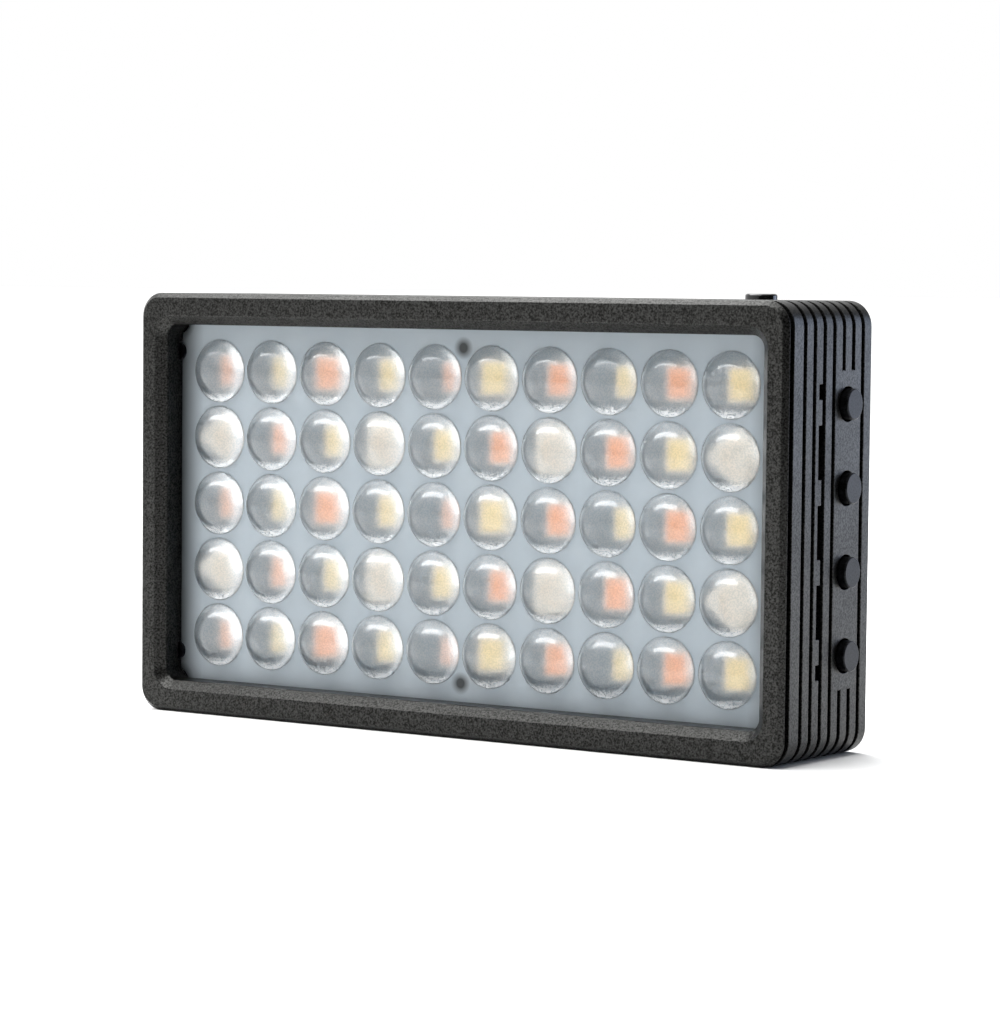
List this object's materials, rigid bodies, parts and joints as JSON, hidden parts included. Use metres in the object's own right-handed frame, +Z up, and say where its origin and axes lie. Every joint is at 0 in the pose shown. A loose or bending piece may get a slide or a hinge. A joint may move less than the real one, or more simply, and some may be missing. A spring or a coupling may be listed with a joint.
{
  "type": "pocket led panel light",
  "caption": "Pocket LED panel light: finned aluminium body, moulded lens array over warm, cool and colour LEDs, side and top push buttons, tripod socket.",
  "frame": {"origin": "mouth of the tripod socket, in the bottom face", "axes": "+X to the light's right-hand side seen from the front (the button side), +Y from the front face into the body, +Z up"},
  "size_m": [0.1263, 0.026, 0.0709],
  "materials": {
    "anodised_aluminium": "bead-blasted, black anodised",
    "button_aluminium": "black anodised",
    "button_gloss": "polished black",
    "lens_acrylic": "fine frosted moulding",
    "white_board": "white solder mask",
    "white_package": "moulded white resin",
    "warm_phosphor": "silicone phosphor fill",
    "cool_phosphor": "silicone phosphor fill",
    "led_chip": "bare die",
    "black_screw": "black zinc",
    "steel_screw": "zinc plated",
    "thermal_pad": "silicone sheet",
    "foam": "closed-cell foam",
    "battery_foil": "laminated pouch foil",
    "connector_plastic": "moulded nylon",
    "wire_insulation": "silicone insulation",
    "ribbon": "polyimide film",
    "green_board": "solder mask",
    "chip_resin": "moulded epoxy",
    "ferrite": "pressed ferrite",
    "display": "display face, off",
    "display_glass": "smoked acrylic",
    "plated_shell": "nickel plated",
    "brass_insert": "machined",
    "switch_body": "moulded switch"
  },
  "bodies": {
    "light": {"front_bezel": "anodised_aluminium", "finned_housing": "anodised_aluminium", "back_cover": "anodised_aluminium", "lens_plate": "lens_acrylic", "led_board": "white_board", "warm_led_packages": "white_package", "cool_led_packages": "white_package", "rgb_led_packages": "white_package", "warm_phosphors": "warm_phosphor", "cool_phosphors": "cool_phosphor", "rgb_chips": "led_chip", "lens_screws": "black_screw", "board_screws": "black_screw", "assembly_screws": "black_screw", "main_board_screws": "steel_screw", "thermal_pad": "thermal_pad", "battery_pad": "foam", "battery": "battery_foil", "battery_connector": "connector_plastic", "battery_lead": "wire_insulation", "led_ribbon": "ribbon", "main_board": "green_board", "control_chips": "chip_resin", "driver_coils": "ferrite", "display_module": "display", "display_window": "display_glass", "usb_c_socket": "plated_shell", "tripod_socket": "brass_insert", "side_switch_board": "green_board", "side_switches": "switch_body", "power_switch": "switch_body"},
    "side_button_up_cap": {"side_button_up": "button_aluminium"},
    "side_button_down_cap": {"side_button_down": "button_aluminium"},
    "side_button_mode_cap": {"side_button_mode": "button_aluminium"},
    "side_button_set_cap": {"side_button_set": "button_aluminium"},
    "power_button_cap": {"power_button": "button_gloss"}
  },
  "joints": [
    {"name": "side_button_up_press", "type": "slide", "parent": "light", "child": "side_button_up_cap", "axis": [-1, 0, 0], "range_m": [0, 0.0004], "stiffness_N_per_m": 400, "springref_m": -0.001},
    {"name": "side_button_down_press", "type": "slide", "parent": "light", "child": "side_button_down_cap", "axis": [-1, 0, 0], "range_m": [0, 0.0004], "stiffness_N_per_m": 400, "springref_m": -0.001},
    {"name": "side_button_mode_press", "type": "slide", "parent": "light", "child": "side_button_mode_cap", "axis": [-1, 0, 0], "range_m": [0, 0.0004], "stiffness_N_per_m": 400, "springref_m": -0.001},
    {"name": "side_button_set_press", "type": "slide", "parent": "light", "child": "side_button_set_cap", "axis": [-1, 0, 0], "range_m": [0, 0.0004], "stiffness_N_per_m": 400, "springref_m": -0.001},
    {"name": "power_button_press", "type": "slide", "parent": "light", "child": "power_button_cap", "axis": [0, 0, -1], "range_m": [0, 0.0004], "stiffness_N_per_m": 400, "springref_m": -0.001}
  ]
}
